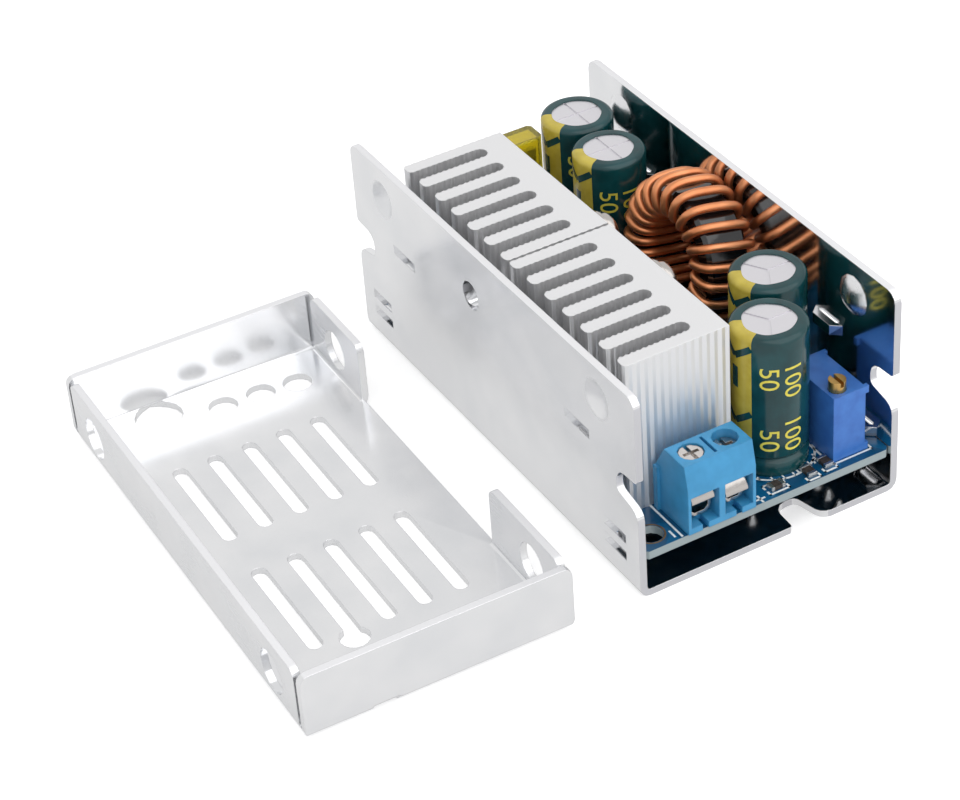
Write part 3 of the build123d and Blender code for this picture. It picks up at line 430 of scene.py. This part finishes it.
def chip_ends():
    """The tinned ends of the chips, a little proud. Each chip lies along its print."""
    corners, faces = [], []
    length, width, height = chip_size
    for (x, y), print_along, print_across in chip_prints:
        degrees = 0 if print_along > print_across else 90
        turned = Matrix.Rotation(math.radians(degrees), 4, "Z")
        place = Matrix.Translation((x, y, board_top)) @ turned
        for end in (-1, 1):
            outside = end * (length / 2 + chip_lift)
            inside = end * (length / 2 - chip_end)
            low = (min(outside, inside), -width / 2 - chip_lift, 0)
            high = (max(outside, inside), width / 2 + chip_lift, height + chip_lift)
            block(corners, faces, low, high, place)
    return corners, faces


tinned = tinned_copper()
wear(["controller_body", "transistor_body", "rectifier_body"], moulded_epoxy())
wear(["controller_leads", "package_leads", "capacitor_leads", "trimmer_pins",
      "transistor_tab", "rectifier_tab"], tinned)
wear(["chip_parts"], fired_ceramic())
piece("chip_ends", *chip_ends(), tinned)


# Terminals. Each is a moulded light blue polyamide housing with two nickel-plated cages, two
# pressure leaves and two clamp screws. One is soldered to the board at each end.
def moulded_polyamide():
    """Blue polyamide: a soft semi-gloss moulding that lets a little light in at its edges."""
    made, tree, shader = begin("moulded_blue_polyamide", "#3b8fc2", roughness=0.34, edge_mm=0.25)
    shader.inputs["Subsurface Weight"].default_value = 0.08
    shader.inputs["Subsurface Radius"].default_value = (0.0004, 0.0007, 0.0012)
    mottle(tree, shader, "#378ab9", "#4097c9", size_mm=2.5)
    ripple(tree, shader, size_mm=0.15, depth_mm=0.006, detail=3.0)
    return made


def nickel_plating():
    """Nickel over steel or brass: bright, faintly warm, with fine tool marks."""
    made, tree, shader = begin("nickel_plating", "#c4bfbb", metallic=1.0, roughness=0.16)
    vary_gloss(tree, shader, size_mm=0.8, low=0.12, high=0.24)
    ripple(tree, shader, size_mm=0.9, depth_mm=0.02, detail=1.0)
    return made


nickel = nickel_plating()
for side in ("output", "input"):
    wear([f"{side}_terminal_cages", f"{side}_leaf_1", f"{side}_leaf_2",
          f"{side}_screw_1", f"{side}_screw_2"], nickel)
wear(["output_terminal_housing", "input_terminal_housing"], moulded_polyamide())


# Capacitors. Deep-drawn aluminium cans with a scored vent on top, each in a printed film sleeve
# shrunk over the can and folded in over its top edge.
def drawn_aluminium():
    """The can's bare top: bright, softly brushed by the drawing tool."""
    made, tree, shader = begin("drawn_aluminium_can", "#e6e4e8", metallic=1.0, roughness=0.4,
                               edge_mm=0.04)
    vary_gloss(tree, shader, size_mm=1.2, low=0.36, high=0.46, detail=3.0)
    ripple(tree, shader, size_mm=0.8, depth_mm=0.003, detail=1.0)
    return made


def shrink_film():
    """Dark teal shrink film: glossy, slightly wavy where it shrank."""
    made, tree, shader = begin("shrunk_teal_film", "#0c3a3d", roughness=0.17)
    mottle(tree, shader, "#0a3437", "#104448", size_mm=3.0)
    ripple(tree, shader, size_mm=4.0, depth_mm=0.03)
    return made


def stripe_ink():
    """The ochre stripe printed on the film: a little duller than the film round it."""
    made, tree, shader = begin("printed_ochre_stripe", "#b9a63c", roughness=0.22)
    mottle(tree, shader, "#b09d38", "#c3b148", size_mm=2.0)
    ripple(tree, shader, size_mm=4.0, depth_mm=0.03)
    return made


def figure_ink():
    """Yellow figures printed on the film: opaque, with soft edges."""
    made, tree, shader = begin("printed_yellow_figures", "#d8cb4a", roughness=0.4)
    mottle(tree, shader, "#cfc043", "#dfd457", size_mm=0.8)
    return made


can_places = {"output": [ring_middle, (18.5, 11.5)], "input": [(-28.2, 11.9), (-18.0, 10.7)]}
can_height = 20.9
sleeve_radius = 5.05
sleeve_wall = 0.15
sleeve_steps = 96
sleeve_lip_radius = 3.45
lip_waver = 0.07
lip_waves = 3
lip_ripples = 7
lip_ripple_share = 0.5
lip_turn_per_mm = 1.3
groove_height = 2.4
groove_depth = 0.45
groove_half = 0.65
groove_steps = 8
shoulder_radius = 0.8
shoulder_steps = 6
stripe_angle = -90.0
stripe_half_angle = 31.0
ink_lift = 0.02
bar_levels = (3.9, -5.4)
bar_half = 1.6
bar_width = 1.1
chevron_levels = (9.0, -1.0)
chevron_drop = 1.9
chevron_half = 2.6
chevron_width = 0.9
mark_steps = 8
mark_rows = 4
figure_lines = [("100   100", 0.7), ("50      50", -35.6)]
figure_height = 2.5
figure_share_of_size = 0.7
figure_curve_steps = 4
figure_longest_edge = 0.35
figure_cuts = 2


def sleeve_outline():
    """Radii and heights up the outside of the sleeve, then back down its inside."""
    outside = [(sleeve_radius, 0.0)]
    for step in range(groove_steps + 1):
        share = step / groove_steps
        dip = groove_depth * math.sin(math.pi * share) ** 2
        outside.append((sleeve_radius - dip, groove_height + groove_half * (2 * share - 1)))
    inside = [(radius - sleeve_wall, height) for radius, height in outside]
    for step in range(shoulder_steps + 1):
        angle = math.radians(90 * step / shoulder_steps)
        outside.append((sleeve_radius - shoulder_radius * (1 - math.cos(angle)),
                        can_height - shoulder_radius * (1 - math.sin(angle))))
    outside.append((sleeve_lip_radius, can_height))
    inside += [(sleeve_radius - sleeve_wall, can_height - shoulder_radius),
               (sleeve_radius - shoulder_radius, can_height - sleeve_wall),
               (sleeve_lip_radius, can_height - sleeve_wall)]
    return outside + inside[::-1]


def sleeve(name, x, y, phase, materials):
    """The film round one can, its stripe a second material, its folded lip a little wavy."""
    outline = sleeve_outline()
    rows = len(outline)
    corners, faces, striped = [], [], []
    for step in range(sleeve_steps):
        angle = 2 * math.pi * step / sleeve_steps
        for radius, height in outline:
            if radius == sleeve_lip_radius:
                radius += lip_waver * (math.sin(lip_waves * angle + phase)
                                       + lip_ripple_share * math.sin(lip_ripples * angle))
            corners.append((x + radius * math.cos(angle), y + radius * math.sin(angle),
                            board_top + height))
        degrees = 360 * (step + 0.5) / sleeve_steps
        away = (degrees - stripe_angle + 180) % 360 - 180
        after = (step + 1) % sleeve_steps
        for row in range(rows):
            above = (row + 1) % rows
            faces.append((step * rows + row, after * rows + row,
                          after * rows + above, step * rows + above))
            striped.append(abs(away) < stripe_half_angle)
    made = piece(name, corners, faces, materials[0])
    made.data.materials.append(materials[1])
    for face, stripe in zip(made.data.polygons, striped):
        face.material_index = 1 if stripe else 0
    return made


def wrapped(x, y, degrees, around, up):
    """A point printed on a sleeve: millimetres around and up from an angle at its middle."""
    radius = sleeve_radius + ink_lift
    angle = math.radians(degrees) + around / radius
    return (x + radius * math.cos(angle), y + radius * math.sin(angle),
            board_top + can_height / 2 + up)


def mark(corners, faces, x, y, first, last, width):
    """Adds one stroke on the stripe, between two points given around and up."""
    along = (Vector(last) - Vector(first)) / mark_steps
    aside = Vector((-along.y, along.x)).normalized() * width / mark_rows
    for step in range(mark_steps + 1):
        for row in range(mark_rows + 1):
            point = Vector(first) + along * step + aside * (row - mark_rows / 2)
            corners.append(wrapped(x, y, stripe_angle, point.x, point.y))
            if step and row:
                here = len(corners) - 1
                before = here - mark_rows - 1
                faces.append((before - 1, before, here, here - 1))


def stripe_marks(x, y):
    """Dark minus bars and chevrons, by turns, down the stripe."""
    corners, faces = [], []
    for level in bar_levels:
        mark(corners, faces, x, y, (0.0, level - bar_half), (0.0, level + bar_half), bar_width)
    for level in chevron_levels:
        for side in (-1, 1):
            tip, end = (0.0, level - chevron_drop), (side * chevron_half, level)
            mark(corners, faces, x, y, tip, end, chevron_width)
    return corners, faces


def figures(words):
    """Triangles of plain figures written along +X, middle on the origin, small enough to bend."""
    data = bpy.data.curves.new("figures", "FONT")
    data.body = words
    data.size = figure_height / figure_share_of_size
    data.align_x = "CENTER"
    data.align_y = "CENTER"
    data.resolution_u = figure_curve_steps
    holder = bpy.data.objects.new("figures", data)
    flat = bpy.data.meshes.new_from_object(holder)
    shape = bmesh.new()
    shape.from_mesh(flat)
    bmesh.ops.triangulate(shape, faces=shape.faces)
    for _ in range(figure_cuts):
        long_edges = [edge for edge in shape.edges if edge.calc_length() > figure_longest_edge]
        bmesh.ops.subdivide_edges(shape, edges=long_edges, cuts=1)
        bmesh.ops.triangulate(shape, faces=shape.faces)
    shape.verts.index_update()
    points = [(corner.co.x, corner.co.y) for corner in shape.verts]
    triangles = [[corner.index for corner in face.verts] for face in shape.faces]
    shape.free()
    bpy.data.objects.remove(holder)
    return points, triangles


def sleeve_figures(x, y):
    """Two lines of figures that read down the sleeve."""
    corners, faces = [], []
    for words, degrees in figure_lines:
        points, triangles = figures(words)
        count = len(corners)
        corners += [wrapped(x, y, degrees, height, -along) for along, height in points]
        faces += [[count + corner for corner in triangle] for triangle in triangles]
    return corners, faces


film = shrink_film()
ochre = stripe_ink()
figure_yellow = figure_ink()
can_metal = drawn_aluminium()
for side, places in can_places.items():
    for number, (x, y) in enumerate(places, 1):
        name = f"{side}_capacitor_{number}"
        wear([f"{name}_can"], can_metal)
        made = sleeve(f"{name}_film", x, y, lip_turn_per_mm * x, (film, ochre))
        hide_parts(f"{name}_sleeve")
        piece(f"{name}_marks", *stripe_marks(x, y), film)
        piece(f"{name}_figures", *sleeve_figures(x, y), figure_yellow)


# Trimmer. A blue thermoset box, moulded, with a turned brass adjusting screw in its top. It stands
# on three pins at the output end.
def moulded_thermoset():
    """Blue thermoset: a hard, glossy moulding with faint flow marks."""
    made, tree, shader = begin("moulded_blue_thermoset", "#386ebd", roughness=0.32, edge_mm=0.2)
    mottle(tree, shader, "#3366b4", "#3d76c4", size_mm=2.0)
    ripple(tree, shader, size_mm=0.3, depth_mm=0.006)
    return made


def turned_brass():
    """Turned brass: warm and bright, dulled a little by handling."""
    made, tree, shader = begin("turned_brass", "#d3aa66", metallic=1.0, roughness=0.32)
    vary_gloss(tree, shader, size_mm=0.6, low=0.28, high=0.38, detail=1.0)
    return made


wear(["trimmer_body"], moulded_thermoset())
wear(["trimmer_adjuster"], turned_brass())


# Fuse. A blade fuse: a clear yellow moulding over a stamped zinc link, held in two tinned brass
# clips. It stands across the board at the input end, on the clips' legs.
def yellow_plastic():
    """Tinted clear plastic: glossy, and the link shows faintly through it."""
    made, tree, shader = begin("moulded_yellow_plastic", "#efe04c", roughness=0.16, edge_mm=0.3)
    shader.inputs["Transmission Weight"].default_value = 0.85
    shader.inputs["IOR"].default_value = 1.49
    vary_gloss(tree, shader, size_mm=1.5, low=0.12, high=0.2)
    return made


wear(["fuse_body"], yellow_plastic())
wear(["fuse_link", "fuse_clips"], tinned)


# Power packages' pads and bushes. A grey silicone pad and a white nylon bush keep each tab apart
# from its heatsink.
def silicone_pad():
    """Grey silicone sheet: soft, matt, with the weave of its glass cloth."""
    made, tree, shader = begin("silicone_sheet", "#8f9296", roughness=0.8)
    ripple(tree, shader, size_mm=0.4, depth_mm=0.01)
    return made


def white_nylon():
    """White moulded nylon: waxy and softly shining."""
    made, tree, shader = begin("moulded_white_nylon", "#e6e5df", roughness=0.45)
    ripple(tree, shader, size_mm=0.3, depth_mm=0.004)
    return made


wear(["insulating_pads"], silicone_pad())
wear(["insulating_bushes"], white_nylon())


# Heatsinks. Two equal lengths of extruded aluminium with a thick back plate and fluted fins, sawn
# to length. The power packages are screwed to their backs.
def extruded_aluminium():
    """Extruded aluminium: pale satin, its fine die lines drawn 0.1 mm apart so that they show."""
    made, tree, shader = begin("extruded_aluminium", "#ededee", metallic=0.8, roughness=0.36)
    lines = noise(tree, size_mm=0.1, stretch=(1.0, 1.0, 60.0))
    tree.links.new(spread(tree, lines, low=0.34, high=0.5), shader.inputs["Roughness"])
    bump(tree, shader, lines, depth_mm=0.002)
    return made


heatsink_starts = (-27.52, 0.4)
heatsink_top = 29.4
fin_count = 7
fin_thickness = 2.0
fin_gap = 2.27
slot_open_y = -15.2
slot_end_y = -6.0
flute_pitch = 0.86
flute_outline = [(-0.02, -0.34), (0.1, -0.16), (0.15, 0.0), (0.1, 0.16), (-0.02, 0.34)]


def slot_flutes():
    """Fine ridges left by the die, down both walls of every slot."""
    corners, faces = [], []
    count = round((slot_end_y - slot_open_y) / flute_pitch)
    points = 2 * len(flute_outline)
    for start in heatsink_starts:
        for fin in range(fin_count - 1):
            left = start + fin_thickness + fin * (fin_thickness + fin_gap)
            for wall, way in ((left, 1), (left + fin_gap, -1)):
                for step in range(count + 1):
                    middle = slot_open_y + (slot_end_y - slot_open_y) * step / count
                    first = len(corners)
                    for out, along in flute_outline:
                        for z in (board_top, heatsink_top):
                            corners.append((wall + way * out, middle + along, z))
                    ridge = [[first + side + corner for corner in (0, 2, 3, 1)]
                             for side in range(0, points - 2, 2)]
                    ridge.append([first + top for top in range(points - 1, 0, -2)])
                    faces += ridge if way > 0 else [face[::-1] for face in ridge]
    return corners, faces


extruded = extruded_aluminium()
wear(["heatsink_far", "heatsink_near"], extruded, soft_shading(sharp_degrees=20))
piece("slot_flutes", *slot_flutes(), extruded, sharp_degrees=60.0)


# Choke. A ring of pressed iron powder dipped in dark lacquer, wound with one layer of thick
# enamelled copper wire. It stands on edge behind the heatsinks, on the wire's two ends.
def dipped_core():
    """Dark dipped lacquer: glossy, a little uneven at its rounded edges."""
    made, tree, shader = begin("dipped_iron_powder", "#121214", roughness=0.14)
    shader.inputs["Coat Weight"].default_value = 0.8
    ripple(tree, shader, size_mm=1.5, depth_mm=0.03)
    return made


def enamelled_copper():
    """Copper under clear enamel: warm metal with a glassy coat."""
    made, tree, shader = begin("enamelled_copper_wire", "#e6a074", metallic=0.88, roughness=0.38)
    shader.inputs["Coat Weight"].default_value = 0.4
    shader.inputs["Coat Roughness"].default_value = 0.15
    mottle(tree, shader, "#da8856", "#e99d6c", size_mm=3.0)
    return made


choke_middle = (-1.9, 13.1, 18.7)
choke_lean = -5.9
ring_middle_radius = 8.06
turn_count = 22
turn_pitch = 15.3
arch_out = 2.5
arch_near = 4.15
arch_far = 3.9
arch_power = 2 / 2.8
arch_start = 35.6
arch_steps = 36
arch_last_step = 29
wire_radius = 0.62
wire_sides = 16
wire_foot_out = 2.15
wire_foot_across = 2.65
wire_foot_height = 4.2
wire_rise_height = 7.2


def turn_shape():
    """One turn arched round the core's section: share of the turn, then outward and across."""
    points = []
    for step in range(arch_steps):
        angle = math.radians(arch_start + 360 * step / arch_steps)
        reach = arch_near if math.sin(angle) < 0 else arch_far
        outward = math.copysign(abs(math.cos(angle)) ** arch_power, math.cos(angle))
        across = math.copysign(abs(math.sin(angle)) ** arch_power, math.sin(angle))
        points.append(Vector((arch_out * outward, reach * across)))
    lengths = [0.0]
    for first, last in zip(points, points[1:] + points[:1]):
        lengths.append(lengths[-1] + (last - first).length)
    return [(length / lengths[-1], point) for length, point in zip(lengths, points)]


def wire_route():
    """The wire from one foot, round and round the core, to the other foot."""
    place = Matrix.Translation(choke_middle) @ Matrix.Rotation(math.radians(choke_lean), 4, "X")

    def on_ring(degrees, outward, across):
        radius = ring_middle_radius + outward
        angle = math.radians(degrees)
        return place @ Vector((radius * math.cos(angle), across, radius * math.sin(angle)))

    start_angle = -90 - (360 - turn_count * turn_pitch) / 2
    end_angle = start_angle - turn_count * turn_pitch
    route = []
    for turn_number in range(turn_count):
        for share, (outward, across) in turn_shape():
            route.append(on_ring(start_angle - turn_pitch * (turn_number + share), outward, across))
    route = route[:arch_last_step + 1 - arch_steps]
    first = on_ring(start_angle, wire_foot_out, wire_foot_across)
    last = on_ring(end_angle, wire_foot_out, -wire_foot_across)
    feet = [[Vector((foot.x, foot.y, height)) for height in (wire_foot_height, wire_rise_height)]
            for foot in (first, last)]
    return feet[0] + route + feet[1][::-1]


def tube(route, radius, sides):
    """Corner points and faces of a round wire along a route."""
    runs = [(last - first).normalized() for first, last in zip(route, route[1:])]
    ways = [(before + after).normalized() for before, after in zip(runs, runs[1:])]
    ways = [runs[0]] + ways + [runs[-1]]
    aside = ways[0].orthogonal().normalized()
    corners, faces = [], []
    for index, (point, way) in enumerate(zip(route, ways)):
        if index:
            aside = ways[index - 1].rotation_difference(way) @ aside
        up = way.cross(aside)
        for side in range(sides):
            angle = 2 * math.pi * side / sides
            corners.append(point + radius * (math.cos(angle) * aside + math.sin(angle) * up))
        if index:
            base = (index - 1) * sides
            for side in range(sides):
                after = (side + 1) % sides
                faces.append((base + side, base + after, base + sides + after, base + sides + side))
    faces.append(list(range(sides))[::-1])
    faces.append(list(range(len(corners) - sides, len(corners))))
    return corners, faces


wear(["choke_core"], dipped_core())
wire = piece("choke_wire", *tube(wire_route(), wire_radius, wire_sides), enamelled_copper(),
             sharp_degrees=60.0)
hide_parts("choke_winding")


# Clamp screws and washers. Nickel-plated steel screws, each with a washer, that clamp the power
# packages' tabs to the backs of the heatsinks.
wear(["clamp_screws", "clamp_washers"], nickel)


# Cover. The same bright aluminium sheet as the chassis, pierced with vents and folded into a tray.
# It lies open side up beside the chassis.
wear(["cover"], rolled_aluminium("rolled_aluminium_tray", end_share=1.1, rim_mm=9.7, haze=0.09))


# Light and floor. Soft daylight from every side, one broad lamp above the output end's right, and
# a pale table top that keeps the object's shadow.
sky_light = 0.92
sky_mirrored = 0.85
world = bpy.data.worlds.new("studio")
world.use_nodes = True
bpy.context.scene.world = world
sky = world.node_tree
rays = add(sky, "ShaderNodeLightPath")
mirrored = math_of(sky, "MAXIMUM", rays.outputs["Is Glossy Ray"],
                   rays.outputs["Is Transmission Ray"])
change = math_of(sky, "MULTIPLY", mirrored, sky_mirrored - sky_light)
strength = math_of(sky, "ADD", sky_light, change)
strength = math_of(sky, "MAXIMUM", strength, rays.outputs["Is Camera Ray"])
sky.nodes["Background"].inputs["Color"].default_value = linear("#ffffff")
sky.links.new(strength, sky.nodes["Background"].inputs["Strength"])

lamp_place = Vector((0.35, 0.15, 0.45))
lamp_target = Vector((0.0, -0.01, 0.01))
lamp_size = 0.9
lamp_watts = 2.0
lamp_data = bpy.data.lights.new("key_lamp", "AREA")
lamp_data.shape = "SQUARE"
lamp_data.size = lamp_size
lamp_data.energy = lamp_watts
lamp = bpy.data.objects.new("key_lamp", lamp_data)
lamp.location = lamp_place
lamp.rotation_euler = (lamp_target - lamp_place).to_track_quat("-Z", "Y").to_euler()
bpy.context.scene.collection.objects.link(lamp)

floor_size = 4.0
floor_glow = 0.4
floor_glow_mirrored = 0.53


def table_top():
    """A pale table top that renders white to the eye and still takes the shadow."""
    made, tree, shader = begin("pale_table", "#efefef", roughness=0.7)
    vary_gloss(tree, shader, size_mm=30.0, low=0.65, high=0.75)
    shader.inputs["Emission Color"].default_value = linear("#ffffff")
    rays = add(tree, "ShaderNodeLightPath")
    colour = blend(tree, rays.outputs["Is Glossy Ray"], "#efefef", "#8f8f8f")
    tree.links.new(colour, shader.inputs["Base Color"])
    seen = math_of(tree, "MULTIPLY", rays.outputs["Is Camera Ray"], floor_glow)
    mirrored = math_of(tree, "MULTIPLY", rays.outputs["Is Glossy Ray"], floor_glow_mirrored)
    tree.links.new(math_of(tree, "ADD", seen, mirrored), shader.inputs["Emission Strength"])
    return made


bpy.ops.mesh.primitive_plane_add(size=floor_size, location=(0, 0, 0))
floor = bpy.context.object
floor.name = "floor"
floor.data.materials.append(table_top())
bpy.context.scene.view_settings.view_transform = "Standard"
